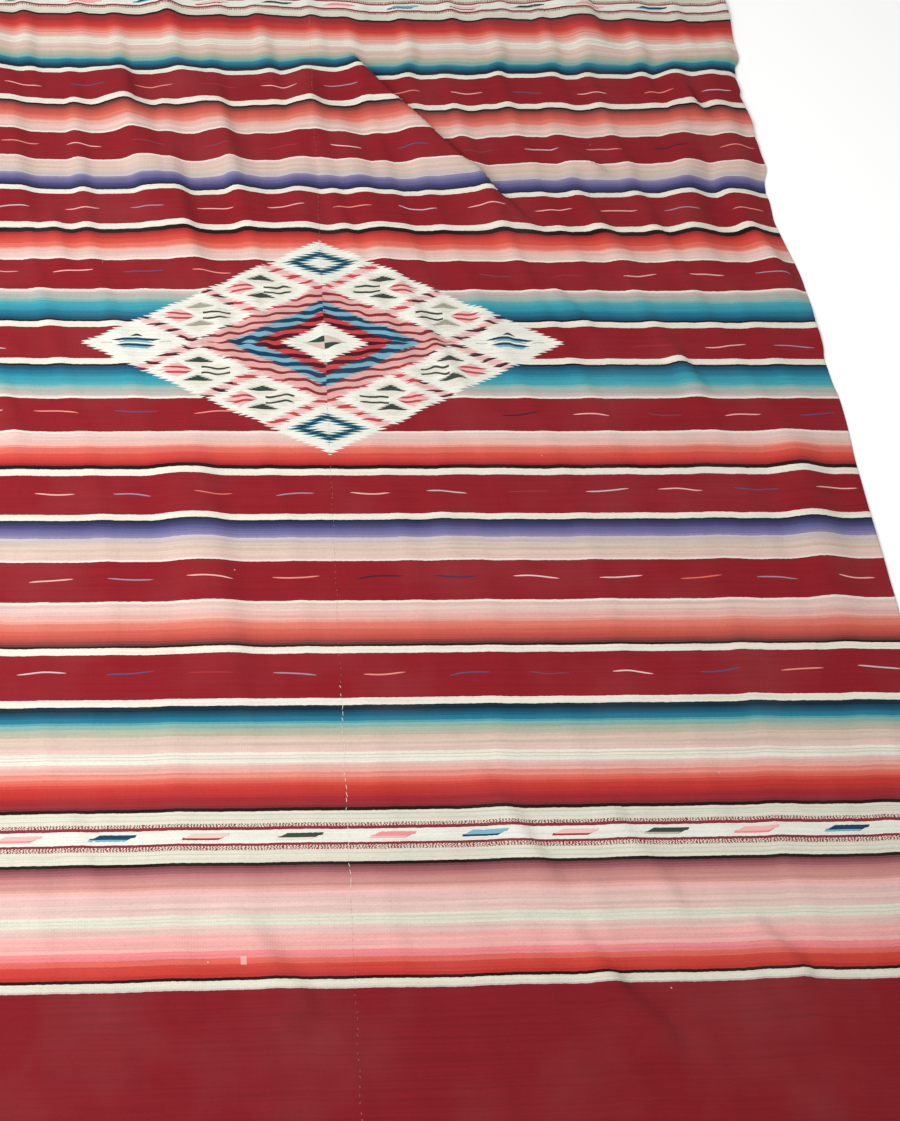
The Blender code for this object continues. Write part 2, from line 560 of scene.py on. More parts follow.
    def _end_cell(self, r: Recipe, du: Value, dv: Value, tooth: Value) -> Colour:
        """Return the inside of the end cells across: two navy arcs lined with pale blue."""
        bowed = dv + abs(du) * 0.13
        reach = tooth * 0.20 + self.arc_reach
        colour: Colour = Y.CHALK
        for top, wide in self.arcs:
            under = bowed.between(top - self.arc_lining, top) * (abs(du) < reach * (wide * 0.72))
            arc = bowed.between(top - self.arc_deep, top) * (abs(du) < reach * wide)
            colour = r.mix(arc, r.mix(under, colour, Y.PALE_BLUE), Y.NAVY)
        speck = bowed.between(*self.speck_span) * (abs(du) < (0.0178 - bowed) * 1.9)
        colour = r.mix(speck, colour, Y.GREY_GREEN)
        thread = (abs(dv) < 0.0006) * abs(du).between(0.034, 0.052)
        return r.mix(thread, colour, Y.FADED_GREEN)

    def _crown_cell(self, r: Recipe, du: Value, dv: Value, tooth: Value) -> Colour:
        """Return the inside of the end cells along: a navy ring with aqua edges."""
        across, along = self.ring_half
        size = abs(du) / across + abs(dv) / along + tooth * 5.0
        ring = r.mix(size.between(0.60, 0.92), Y.JADE, Y.NAVY)
        return r.mix(size.between(0.50, 1.02), Y.CHALK, ring)

    def _centre(self, r: Recipe, u: Value, v: Value, m: Value, lines: Value) -> Colour:
        """Return the nested zones: pink, blue, coral and the ivory heart, each with its lines.

        Args:
            r: the recipe it is drawn in.
            u: metres across from the seam.
            v: metres along from the middle.
            m: the medallion's measure.
            lines: the weft lines' wave.

        Returns:
            The colour.
        """
        dark = lines < self.dark_share
        blue = r.mix(dark, Y.PALE_BLUE, Y.NAVY)
        coral = r.mix(dark, Y.POPPY, Y.DARK_RED)
        colour = r.mix(lines < self.pink_share, Y.PETAL, Y.MAROON)
        colour = r.mix(m < self.blue_edge, colour, blue)
        colour = r.mix(m < self.coral_edge, colour, coral)
        turned = v * u.sign() * -1.0
        low, high = self.wedge_span
        wedge = turned.between(low, high) * (abs(u) < (self.wedge_tip - turned) * 2.3)
        lining = turned.between(-high, -low) * (abs(u) < (turned + self.wedge_tip) * 2.6)
        heart = r.mix(wedge, r.mix(lining, Y.CHALK, Y.SAND), Y.GREY_GREEN)
        heart = r.mix((m < self.heart_edge) * (abs(v) < 0.0007), heart, Y.STONE)
        return r.mix(m < self.ivory_edge, colour, heart)


@dataclass(frozen=True)
class WovenWool:
    """The cloth's finish: striped wefts beaten close over the warp, matt, with a short nap.

    Shades are colours that the cloth is multiplied by.
    """

    pick: float = 0.0014
    warp: float = 0.0034
    check: float = 0.0038
    relief: float = 0.0005
    per_ramp: int = 24
    waver: Grain = Grain(9.0, 3.0, 3.0, 0.0030)
    fray: Grain = Grain(160.0, 40.0, 1.0, 0.0012)
    pull: Grain = Grain(24.0, 9.0, 1.0, 0.011)
    shine: Grain = Grain(12.0, 240.0, 2.0, 0.16)
    speckle: Grain = Grain(120.0, 700.0, 2.0, 2.4)
    speckle_share: Grain = Grain(60.0, 20.0, 1.0, 0.5)
    dye_streak: Grain = Grain(5.0, 330.0, 2.0, 0.9)
    fade: Grain = Grain(7.0, 7.0, 3.0, 0.05)
    fleck: Grain = Grain(170.0, 300.0, 2.0, 0.6)
    fleck_shade: Colour = (0.50, 0.44, 0.44, 1.0)
    streak_shade: Colour = (0.55, 0.50, 0.50, 1.0)
    # painted shade for the weave's dips between picks, and how strongly it darkens them
    painted_hollow_shade: Colour = (0.50, 0.46, 0.46, 1.0)
    painted_hollow_share: float = 0.34
    faded: Colour = (0.92, 0.86, 0.82, 1.0)
    lint: float = 0.55
    lint_cells: float = 30.0
    mark: Pair = (-0.127, -0.859)
    mark_half: Pair = (0.0035, 0.0045)
    medallion: Medallion = field(default_factory=Medallion)

    def make(self, name: str) -> bpy.types.Material:
        """Return the woven material under a name."""
        r = Recipe(name)
        u, v = r.flat_place()
        uneven = r.wander(u, v, self.waver) + r.wander(u, v, self.fray)
        away = abs(v + uneven)
        colour = self._striped(r, away + self._crowded(away) * (v > 0.0))
        colour = self._speckled(r, colour, u, away)
        pulled = v + uneven * 0.5 + r.wander(u, v, self.pull)
        colour = self.medallion.weave(r, u, pulled, colour)
        bead = self._beads(u, v)
        streak = r.noise(u, v, self.shine)
        return r.dress(
            Base_Color=self._worn_and_shaded(r, colour, u, v, bead),
            Roughness=streak * self.shine.swing + 0.80,
            Normal=r.bump(bead + streak * 0.8, self.relief, 0.8),
            Specular_IOR_Level=0.08,
            Sheen_Weight=0.015,
            Sheen_Roughness=0.6,
        )

    @staticmethod
    def _crowded(away: Value) -> Value:
        """Return how far some stripes crowd inwards at the far side, where the beat was harder."""
        shift: Value | float = 0.0
        for place, reach, most in CROWDED:
            share = (1.0 - abs(away - place) / reach).most(0.0)
            shift = (2.0 - share) * share * most + shift
        return shift

    def _striped(self, r: Recipe, away: Value) -> Colour:
        """Return the stripes' colour at a distance from the middle.

        Each ramp takes a run of stripes that fills it from end to end, because a ramp is only
        as fine as a two-hundredth or so of its reach.
        """
        stripes = stripes_of(BANDS)
        colour: Colour | None = None
        for first in range(0, len(stripes), self.per_ramp):
            part = stripes[first : first + self.per_ramp]
            later = stripes[first + self.per_ramp :]
            low = part[0][0]
            reach = (later[0][0] if later else part[-1][0] + 0.004) - low
            stops = [((start - low) / reach, shade) for start, shade in part]
            ramp = r.ramp((away - low) / reach, stops)
            colour = ramp if colour is None else r.mix(away > low, colour, ramp)
        return colour

    def _speckled(self, r: Recipe, colour: Colour, u: Value, away: Value) -> Colour:
        """Lay the bands where a dark and a pale pick alternate over the warp, a little unevenly."""
        drift = r.noise(u, away, self.speckle) * self.speckle.swing
        share = r.noise(u, away, self.speckle_share) * self.speckle_share.swing + 0.25
        check = (u / self.check + drift).rest() > share
        for low, high in SPECKLED:
            band = away.between(low, high)
            colour = r.mix(band, colour, r.mix(check, Y.BONE, Y.CHERRY))
        return colour

    def _beads(self, u: Value, v: Value) -> Value:
        """Return the weave's height, 0 to 1: each pick rises over a warp and dips beside it."""
        turn = ((u / self.warp).whole() * 0.5).rest()
        over = abs(((v / self.pick + turn) * math.pi).sine())
        across = abs((u / self.warp * math.pi).sine())
        return over * (across * 0.35 + 0.65)

    def _worn_and_shaded(self, r: Recipe, colour: Colour, u: Value, v: Value, bead: Value) -> Colour:
        """Lay dye streaks, dark hollows between picks, pale lint and wear over the colour.

        Args:
            r: the recipe it is drawn in.
            colour: the clean cloth's colour.
            u: metres across from the seam.
            v: metres along from the middle.
            bead: the weave's height.

        Returns:
            The worn colour.
        """
        dark = (r.noise(u, v, self.fleck) - 0.50).most(0.0) * self.fleck.swing
        colour = r.mix(dark, colour, self.fleck_shade, "MULTIPLY")
        dark = (0.60 - r.noise(u, v, self.dye_streak)).most(0.0) * self.dye_streak.swing
        colour = r.mix(dark, colour, self.streak_shade, "MULTIPLY")
        # painted shade: darker where the weave's height is low, in the dips between picks and warps
        colour = r.mix((1.0 - bead) * self.painted_hollow_share, colour, self.painted_hollow_shade, "MULTIPLY")
        pale = (r.noise(u, v, self.fade) - 0.45).most(0.0) * self.fade.swing
        colour = r.mix(pale, colour, self.faded)
        place = r.node("ShaderNodeCombineXYZ", inputs={0: u, 1: v})
        inputs = {"Vector": place.outputs[0], "Scale": self.lint_cells}
        dots = r.node("ShaderNodeTexVoronoi", inputs=inputs)
        kept = r.node("ShaderNodeSeparateColor", inputs={0: dots.outputs["Color"]})
        lint = (Value(r, dots.outputs["Distance"]) < 0.030) * (Value(r, kept.outputs[0]) > 0.93)
        colour = r.mix(lint * self.lint, colour, Y.SHELL)
        off = abs(u - self.mark[0]), abs(v - self.mark[1])
        mark = (off[0] < self.mark_half[0]) * (off[1] < self.mark_half[1])
        return r.mix(mark * self.lint, colour, Y.SHELL)


@dataclass(frozen=True)
class YarnFinish:
    """A single yarn's finish: the colour its piece carries, twisted and matt."""

    twist: float = 0.0016
    lean: float = 0.6
    relief: float = 0.0004
    # the painted shade laid in the grooves of the twist
    shade: Colour = (0.5, 0.45, 0.45, 1.0)

    def make(self, name: str) -> bpy.types.Material:
        """Return the yarn material under a name."""
        r = Recipe(name)
        colour = r.node("ShaderNodeVertexColor", {"layer_name": YARN_LAYER}).outputs[0]
        place = r.node("ShaderNodeTexCoord").outputs["Object"]
        parts = r.node("ShaderNodeSeparateXYZ", inputs={0: place})
        x, y = Value(r, parts.outputs[0]), Value(r, parts.outputs[1])
        ply = abs(((x + y * self.lean) / self.twist * math.pi).sine())
        # painted shade: darker in the grooves between the plies of the twist
        colour = r.mix((1.0 - ply) * 0.35, colour, self.shade, "MULTIPLY")
        return r.dress(
            Base_Color=colour,
            Roughness=ply * 0.12 + 0.78,
            Normal=r.bump(ply, self.relief, 0.6),
            Specular_IOR_Level=0.2,
        )


# ---- the laid form


class Fold(NamedTuple):
    """One soft ridge of the laid cloth, on the flat panel's own sizes in metres.

    The crest runs straight from its start to its end, and the cloth falls away within
    left_flank and right_flank of it, as seen looking from the start to the end. Past each
    end it dies away over fade.
    """

    start_across: float
    start_along: float
    end_across: float
    end_along: float
    start_height: float
    end_height: float
    left_flank: float
    right_flank: float
    fade: float = 0.11


def folds_of(*rows: tuple[int, ...]) -> tuple[Fold, ...]:
    """Return folds from rows of their fields in millimetres."""
    return tuple(Fold(*(size / 1000 for size in row)) for row in rows)


# start across and along, end across and along, two heights, left and right flanks, fade
MAIN_FOLDS = folds_of(
    (97, 540, 302, 265, 21, 14, 24, 85),
    (-330, 500, -215, 190, 16, 12, 55, 55),
    (-200, 520, -100, 240, 12, 8, 50, 50),
    (-10, 520, -28, 260, 14, 9, 50, 50),
    (45, 400, 100, 210, 8, 10, 45, 45),
    (640, 540, 600, 200, 13, 12, 50, 45),
    (705, 560, 705, 130, 13, 10, 45, 45),
    (-200, -240, -150, -480, 11, 8, 60, 60),
    (665, -210, 665, -380, 11, 8, 55, 55),
    (-560, 620, -500, 280, 13, 10, 60, 55),
    (-690, 300, -680, 20, 9, 10, 55, 50),
    (400, 900, 480, 660, 11, 13, 60, 55),
    (-330, 920, -260, 720, 13, 10, 60, 55),
    (-620, -300, -570, -540, 10, 9, 60, 55),
)
FINE_CREASES = folds_of(
    (651, 499, 673, 444, 6, 6, 18, 30, 30),
    (449, 356, 464, 341, 7, 7, 15, 30, 30),
    (357, 97, 394, 39, 6, 6, 16, 32, 30),
    (530, -26, 549, -73, 6, 6, 16, 32, 30),
    (89, 173, 192, -61, 5, 6, 18, 34, 50),
    (262, -838, 300, -884, 5, 6, 16, 40, 30),
    (289, -883, 345, -940, 6, 7, 16, 42, 40),
    (480, -835, 523, -880, 7, 8, 16, 40, 30),
    (-135, -810, -62, -900, 5, 8, 24, 60, 40),
    (175, -655, 235, -760, 4, 6, 16, 40, 40),
    (330, -700, 380, -790, 5, 4, 16, 36, 40),
    (-420, 230, -395, 150, 5, 4, 20, 32, 40),
    (-120, 120, -90, 20, 4, 5, 20, 34, 50),
    (455, 230, 480, 160, 6, 5, 20, 36, 40),
    (-470, -60, -440, -150, 4, 4, 22, 34, 40),
    (-330, -700, -300, -770, 4, 4, 20, 34, 40),
    (150, -270, 160, -330, 5, 4, 30, 36, 50),
)


class Wave(NamedTuple):
    """One sine of the ripples: its share, its turns to a ripple's pitch and where it lies.

    It leans across by `lean` for each metre along, starts at `phase`, and sways by `sway` in
    waves of `turns` along.
    """

    share: float
    pace: float
    lean: float
    phase: float
    sway: float
    turns: float


@dataclass(frozen=True)
class Lay:
    """How the cloth lies: folds, finer creases and ripples over a flat surface.

    The ripples grow from `calm` of their height at the near end to the whole of it at the
    far end, by a smooth step `grow_reach` long at `grow_from` along.
    """

    folds: tuple[Fold, ...] = MAIN_FOLDS + FINE_CREASES
    ripple: float = 0.0052
    ripple_pitch: float = 0.082
    waves: tuple[Wave, ...] = (
        Wave(0.5, 1.0, 0.16, 0.0, 2.1, 5.0),
        Wave(0.3, 1.63, 0.24, 1.0, 1.7, 7.0),
        Wave(0.2, 0.61, -0.10, 2.2, 0.0, 0.0),
    )
    calm: float = 0.27
    grow_from: float = 0.02
    grow_reach: float = 0.10
    least: float = 0.0002

    @staticmethod
    def bell(distance: np.ndarray, reach: np.ndarray | float) -> np.ndarray:
        """Return a raised cosine: 1 at no distance and 0 from reach outwards."""
        return 0.5 + 0.5 * np.cos(np.pi * np.clip(np.abs(distance) / reach, 0.0, 1.0))

    def fold_height(self, fold: Fold, across: np.ndarray, along: np.ndarray) -> np.ndarray:
        """Return one fold's lift: a bell across its crest, times a bell past its ends.

        Args:
            fold: the fold.
            across: metres across from the seam.
            along: metres along from the middle.

        Returns:
            The lift at each place, in metres.
        """
        start = np.array([fold.start_across, fold.start_along])
        crest = np.array([fold.end_across, fold.end_along]) - start
        length = float(np.hypot(*crest))
        ahead = crest / length
        on_crest = (across - start[0]) * ahead[0] + (along - start[1]) * ahead[1]
        to_right = (across - start[0]) * ahead[1] - (along - start[1]) * ahead[0]
        share = np.clip(on_crest / length, 0.0, 1.0)
        height = fold.start_height + (fold.end_height - fold.start_height) * share
        flank = np.where(to_right < 0.0, fold.left_flank, fold.right_flank)
        past_end = on_crest - share * length
        return height * self.bell(to_right, flank) * self.bell(past_end, fold.fade)

    def rippled(self, across: np.ndarray, along: np.ndarray) -> np.ndarray:
        """Return the small lengthwise ripples: the tops of three sines of unlike pitch.

        Args:
            across: metres across from the seam.
            along: metres along from the middle.

        Returns:
            The lift at each place, in metres.
        """
        turn = 2 * np.pi / self.ripple_pitch
        height = np.zeros_like(across)
        for w in self.waves:
            angle = w.pace * turn * (across + w.lean * along) + w.phase
            height = height + w.share * np.sin(angle + w.sway * np.sin(w.turns * along))
        grown = 1.0 + np.exp(-(along - self.grow_from) / self.grow_reach)
        strength = self.calm + (1.0 - self.calm) / grown
        return self.ripple * strength * np.clip(height + 0.25, 0.0, None) ** 1.3

    def lift(self, across: np.ndarray, along: np.ndarray) -> np.ndarray:
        """Return the height of the cloth's underside above the surface it lies on."""
        height = sum(self.fold_height(fold, across, along) for fold in self.folds)
        height = height + self.rippled(across, along)
        return np.where(height < self.least, 0.0, height)


def drawn_in(flat: np.ndarray, height: np.ndarray, axis: int, anchor: int) -> np.ndarray:
    """Lay flat distances over a relief, each step keeping its own length of cloth.

    Args:
        flat: flat distances on a grid.
        height: the relief on the same grid.
        axis: the grid's direction that the distances run in.
        anchor: the row or column that stays where it is.

    Returns:
        Where each place comes to lie, measured from the anchor.
    """
    step, rise = np.diff(flat, axis=axis), np.diff(height, axis=axis)
    laid = np.sqrt(np.maximum(step**2 - rise**2, (STEEPEST * step) ** 2)) * np.sign(step)
    first = np.zeros_like(np.take(flat, [0], axis=axis))
    run = np.concatenate([first, np.cumsum(laid, axis=axis)], axis=axis)
    return run - np.take(run, [anchor], axis=axis)


def grid_faces(rows: int, columns: int) -> np.ndarray:
    """Return the four-cornered faces of a grid of points, row by row."""
    grid = np.arange(rows * columns).reshape(rows, columns)
    corners = (grid[:-1, :-1], grid[:-1, 1:], grid[1:, 1:], grid[1:, :-1])
    return np.stack([corner.ravel() for corner in corners], axis=1)


def add_mesh(
    name: str, points: np.ndarray, faces: list, material: bpy.types.Material
) -> bpy.types.Object:
    """Add a smooth-shaded mesh object at the origin.

    Args:
        name: the piece's name.
        points: its points, three to a row, in metres.
        faces: its faces as lists of point numbers, wound to face outwards.
        material: its finish.

    Returns:
        The object.
    """
    mesh = bpy.data.meshes.new(name)
    mesh.from_pydata(points.tolist(), [], faces)
    mesh.materials.append(material)
    mesh.shade_smooth()
    piece = bpy.data.objects.new(name, mesh)
    bpy.context.scene.collection.objects.link(piece)
    return piece


@dataclass
class Panel:
    """One loom width of the serape: a closed shell of cloth on the laid form.

    The grid runs across from the seam, on its distances `d` and `v`. A few close columns at
    each selvedge let the edge round over. `flat` holds its flat places and `under` where the
    cloth's underside lies.
    """

    name: str
    side: int
    lay: Lay
    width: float = 0.75
    length: float = 2.10
    cloth: float = 0.002
    gap: float = 0.00008
    lean: float = -0.056
    columns: int = 112
    rows: int = 322
    selvedge: float = 0.003
    close: tuple[float, ...] = (0.0, 0.0008, 0.0018, 0.0040)
    open_from: float = 0.009
    d: np.ndarray = field(init=False)
    v: np.ndarray = field(init=False)
    flat: np.ndarray = field(init=False)
    under: np.ndarray = field(init=False)

    def __post_init__(self) -> None:
        """Lay the panel's grid over the folds."""
        close = np.array(self.close)
        inner = np.linspace(self.open_from, self.width - self.open_from, self.columns)
        self.d = np.concatenate([close, inner, self.width - close[::-1]])
        self.v = np.linspace(-self.length / 2, self.length / 2, self.rows + 1)
        across, along = np.meshgrid(self.side * self.d, self.v)
        self.flat = np.stack([across, along], axis=-1)
        height = self.lay.lift(across, along)
        middle = int(np.argmin(np.abs(self.v)))
        y = drawn_in(along, height, axis=0, anchor=middle)
        x = drawn_in(across, height, axis=1, anchor=0) + self.side * self.gap / 2 + self.lean * y
        self.under = np.stack([x, y, height], axis=-1)

    def thickness(self) -> np.ndarray:
        """Return the cloth's thickness on the grid: full, and rounding over at its outer edges."""
        inwards = np.minimum(self.d, self.width - self.d)
        ends = np.minimum(self.v + self.length / 2, self.length / 2 - self.v)[:, None]
        ends = ends + self.close[1]
        near = np.where(self.d < self.width / 2, ends, np.minimum(inwards, ends))
        rounded = np.clip(near / self.selvedge, 0.0, 1.0)
        return self.cloth * (0.5 + 0.5 * np.sqrt(1.0 - (1.0 - rounded) ** 2))

    def on_top(self, u: np.ndarray, v: np.ndarray, above: np.ndarray | float) -> np.ndarray:
        """Find places on the cloth's top, between the grid's points in straight lines.

        Args:
            u: metres across from the seam, on this panel's side.
            v: metres along from the middle.
            above: how far off the cloth, in metres.

        Returns:
            The points, three numbers each.
        """
        d = np.clip(np.abs(u), 0.0, self.width)
        column = np.clip(np.searchsorted(self.d, d, side="right") - 1, 0, len(self.d) - 2)
        row = np.clip(np.searchsorted(self.v, v, side="right") - 1, 0, len(self.v) - 2)
        a = ((d - self.d[column]) / (self.d[column + 1] - self.d[column]))[..., None]
        b = ((v - self.v[row]) / (self.v[row + 1] - self.v[row]))[..., None]
        p00, p01 = self.under[row, column], self.under[row, column + 1]
        p10, p11 = self.under[row + 1, column], self.under[row + 1, column + 1]
        place = (p00 * (1 - a) + p01 * a) * (1 - b) + (p10 * (1 - a) + p11 * a) * b
        rise = np.cross((p01 - p00) * self.side + (p11 - p10) * self.side, p10 - p00 + p11 - p01)
        rise = rise / np.linalg.norm(rise, axis=-1, keepdims=True)
        lifted = np.asarray(above, float)[..., None] * rise
        return place + np.array([0.0, 0.0, self.cloth]) + lifted

    def build(self, material: bpy.types.Material) -> bpy.types.Object:
        """Make the shell: underside, top and rim, with the flat sizes as its map.

        Args:
            material: the woven finish.

        Returns:
            The piece.
        """
        rows, columns = len(self.v), len(self.d)
        top = self.under.copy()
        top[..., 2] += self.thickness()
        points = np.concatenate([self.under.reshape(-1, 3), top.reshape(-1, 3)])
        layer = rows * columns
        cells = grid_faces(rows, columns)
        grid = np.arange(layer).reshape(rows, columns)
        loop = np.concatenate([grid[0], grid[1:, -1], grid[-1, -2::-1], grid[-2:0:-1, 0]])
        after = np.roll(loop, -1)
        rim = np.stack([loop, after, after + layer, loop + layer], axis=1)
        faces = np.concatenate([cells[:, ::-1], cells + layer, rim])
        faces = faces if self.side > 0 else faces[:, ::-1]
        piece = add_mesh(self.name, points, faces.tolist(), material)
        flat = np.tile(self.flat.reshape(-1, 2), (2, 1))
        corners = np.empty(len(piece.data.loops), np.int32)
        piece.data.loops.foreach_get("vertex_index", corners)
        layer_uv = piece.data.uv_layers.new(name=FLAT_MAP)
        layer_uv.data.foreach_set("uv", flat[corners].astype(np.float32).ravel())
        piece.data.set_sharp_from_angle(angle=math.radians(60.0))
        return piece


# ---- inlaid picks and thread


class Pick(NamedTuple):
    """One short inlaid yarn: its middle on the flat cloth, its size, its tilt and its yarns."""

    across: float
    along: float
    length: float
    width: float
    rise: float
    bend: float
    slant: float
    upper: Yarn
    lower: Yarn


@dataclass
class YarnPiece:
    """Many short yarns in one piece, each a closed, flattened tube that lies in the cloth.

    A yarn's outline is an ellipse, width across and a low height, drawn in over the `blunt`
    share at its ends to the `tip` share, along a line that rises by `rise` and sways by `bend`
    over the yarn's length. Its ends are cut at `slant`, as a share of its width.
    """

    name: str
    panels: tuple[Panel, ...]
    picks: list[Pick]
    stand: float = 0.0007
    sink: float = 0.0002
    stations: int = 17
    sides: int = 8
    blunt: float = 0.35
    tip: float = 0.04
    sway_turns: float = 2.6

    def build(self, material: bpy.types.Material) -> bpy.types.Object:
        """Make the piece, with each yarn's colour on its own faces.

        Args:
            material: the yarn finish.

        Returns:
            The piece.
        """
        table = np.array([pick[:7] for pick in self.picks], float).T[..., None, None]
        across, along, length, width, rise, bend, slant = table
        t = np.linspace(-1.0, 1.0, self.stations)[None, :, None]
        angle = (np.arange(self.sides) + 0.5) * 2 * np.pi / self.sides
        c, h = np.cos(angle)[None, None, :], np.sin(angle)[None, None, :]
        taper = np.clip((1.0 - np.abs(t)) / self.blunt, self.tip, 1.0) ** 0.5
        run = np.hypot(length, rise)
        side_across, side_along = -rise / run, length / run
        u = across + t * length / 2 + c * (slant + taper * side_across) * width / 2
        v = along + rise * t / 2 + bend * np.sin(self.sway_turns * t + 30 * across)
        v = v + c * taper * side_along * width / 2
        above = self.stand * taper * h - self.sink + across * 0.0
        points = np.zeros((*u.shape, 3))
        for panel in self.panels:
            mine = np.sign(u) == panel.side
            if mine.any():
                points[mine] = panel.on_top(u[mine], v[mine], above[mine])
        return self._skin(points, material)

    def _skin(self, points: np.ndarray, material: bpy.types.Material) -> bpy.types.Object:
        """Join rings of points into closed tubes and colour their upper and lower halves.

        Args:
            points: the places, by yarn, station and side.
            material: the yarn finish.

        Returns:
            The piece.
        """
        count, stations, sides = points.shape[:3]
        ring = np.arange(stations * sides).reshape(stations, sides)
        after = np.roll(ring, -1, axis=1)
        quads = np.stack([ring[:-1], ring[1:], after[1:], after[:-1]], axis=-1).reshape(-1, 4)
        per_tube = [*quads.tolist(), ring[0].tolist(), ring[-1][::-1].tolist()]
        faces = [
            [number * stations * sides + corner for corner in face]
            for number in range(count)
            for face in per_tube
        ]
        piece = add_mesh(self.name, points.reshape(-1, 3), faces, material)
        half = np.array([0.0 < math.cos((k + 1.0) * 2 * math.pi / sides) for k in range(sides)])
        upper = np.concatenate([np.tile(half, stations - 1).repeat(4), np.ones(2 * sides, bool)])
        shades = [
            np.where(upper[:, None], np.array(pick.upper.linear), np.array(pick.lower.linear))
            for pick in self.picks
        ]
        layer = piece.data.color_attributes.new(YARN_LAYER, "FLOAT_COLOR", "CORNER")
        layer.data.foreach_set("color", np.concatenate(shades).astype(np.float32).ravel())
        return piece


class Row(NamedTuple):
    """A row of inlaid picks: how far along it lies, and its yarns from the left, one a pitch."""

    along: float
    first: int
    yarns: tuple[Yarn, ...]


PICK_ROWS = (
    # along, the first pick's number from the seam, and the yarns towards the right
    Row(-0.512, -7, (Y.BLUSH, Y.HAZE, Y.CORAL, Y.LILAC, Y.SLATE, Y.CRIMSON, Y.HAZE,
                     Y.SALMON, Y.SLATE, Y.PLUM, Y.SHELL, Y.SLATE, Y.SALMON, Y.LILAC)),
    Row(-0.381, -7, (Y.LILAC, Y.SALMON, Y.SLATE, Y.BLUSH, Y.HAZE, Y.BLUSH, Y.SALMON,
                     Y.NIGHT, Y.AUBERGINE, Y.SHELL, Y.SHELL, Y.CORAL, Y.HAZE, Y.BLUSH)),
    Row(-0.250, -7, (Y.CORAL, Y.BLUSH, Y.HAZE, Y.BLUSH, Y.HAZE, Y.CORAL, Y.HAZE,
                     Y.BLUSH, Y.LILAC, Y.CRIMSON, Y.LILAC, Y.BLUSH, Y.SLATE, Y.BLUSH)),
    Row(-0.122, -7, (Y.SALMON, Y.SLATE, Y.BLUSH, Y.SALMON, Y.SLATE, Y.SALMON)),
    Row(-0.122, 2, (Y.NIGHT, Y.BLUSH, Y.PLUM, Y.BLUSH, Y.SLATE, Y.SALMON)),
    Row(-0.008, -7, (Y.BLUSH, Y.SALMON, Y.LILAC)),
    Row(-0.008, 4, (Y.CRIMSON, Y.BLUSH, Y.HAZE, Y.BLUSH)),
    Row(0.128, -7, (Y.BLUSH, Y.HAZE, Y.SALMON, Y.BLUSH, Y.SLATE, Y.SALMON)),
    Row(0.128, 2, (Y.PLUM, Y.CRIMSON, Y.BLUSH, Y.BLUSH, Y.HAZE, Y.BLUSH)),
    Row(0.254, -7, (Y.HAZE, Y.SALMON, Y.LILAC, Y.BLUSH, Y.HAZE, Y.BLUSH, Y.BLUSH,
                    Y.SALMON, Y.LILAC, Y.BLUSH, Y.BLUSH, Y.BLUSH, Y.HAZE, Y.SALMON)),
    Row(0.384, -7, (Y.BLUSH, Y.HAZE, Y.SALMON, Y.BLUSH, Y.PLUM, Y.PLUM, Y.CRIMSON,
                    Y.SHELL, Y.SLATE, Y.PLUM, Y.LILAC, Y.SALMON, Y.NIGHT, Y.SALMON)),
    Row(0.513, -7, (Y.SALMON, Y.LILAC, Y.BLUSH, Y.SLATE, Y.SALMON, Y.CRIMSON, Y.BLUSH,
                    Y.HAZE, Y.SALMON, Y.BLUSH, Y.SLATE, Y.BLUSH, Y.SALMON, Y.LILAC)),
)


@dataclass(frozen=True)
class Inlay:
    """The rows of short inlaid picks in the red bands, and the two-toned slanting flashes."""

    pitch: float = 0.1087
    length: float = 0.060
    width: float = 0.0022
    uneven_across: float = 0.004
    uneven_along: float = 0.003
    uneven_length: float = 0.10
    rise: float = 0.005
    bend: float = 0.0014
    flash_pitch: float = 0.1117
    flash_start: float = -0.002
    flash_along: float = 0.7180
    flash_length: float = 0.050
    flash_width: float = 0.0085
    flash_slant: float = 1.9
    flash_margin: float = 0.008
    flash_yarns: tuple[tuple[Yarn, Yarn], ...] = (
        (Y.NAVY, Y.PALE_BLUE), (Y.SHELL, Y.CRIMSON), (Y.GREY_GREEN, Y.BONE),
        (Y.HOT_PINK, Y.ROSE_WHITE), (Y.PALE_BLUE, Y.NAVY), (Y.ROSE_WHITE, Y.CRIMSON),
        (Y.GREY_GREEN, Y.STONE), (Y.ROSE, Y.HOT_PINK),
    )

    def picks(self, panel: Panel) -> list[Pick]:
        """Return one panel's short picks, each a little unlike the next.

        Args:
            panel: the panel that they lie in.

        Returns:
            The picks.
        """
        found = []
        for row in PICK_ROWS:
            for step, yarn in enumerate(row.yarns):
                number = row.first + step
                # two uneven measures from -1 to 1, by sines that turn far from pick to pick
                odd = math.sin(12.9898 * number + 78.233 * row.along)
                other = math.sin(39.346 * number + 11.135 * row.along)
                across = (number + 0.5) * self.pitch + self.uneven_across * other
                length = self.length * (1.0 + self.uneven_length * odd)
                if across * panel.side < 0 or abs(across) + length / 2 > panel.width:
                    continue
                along = row.along + self.uneven_along * odd
                rise, bend = self.rise * other, self.bend * odd
                found.append(
                    Pick(across, along, length, self.width, rise, bend, 0.0, yarn, yarn)
                )
        return found

    def flashes(self, panel: Panel) -> list[Pick]:
        """Return one panel's slanting flashes, in both white bands far from the middle.

        Args:
            panel: the panel that they lie in.

        Returns:
            The flashes.
        """
        found = []
        room = panel.width - self.flash_length / 2 - self.flash_margin
        for end in (-1.0, 1.0):
            for number in range(-6, 8):
                across = self.flash_start + (number - 0.5) * self.flash_pitch
                if across * panel.side < 0 or abs(across) > room:
                    continue
                yarns = self.flash_yarns[(number + 2) % len(self.flash_yarns)]
                found.append(
                    Pick(across, end * self.flash_along, self.flash_length, self.flash_width,
                         0.0, 0.0, self.flash_slant, *yarns)
                )
        return found


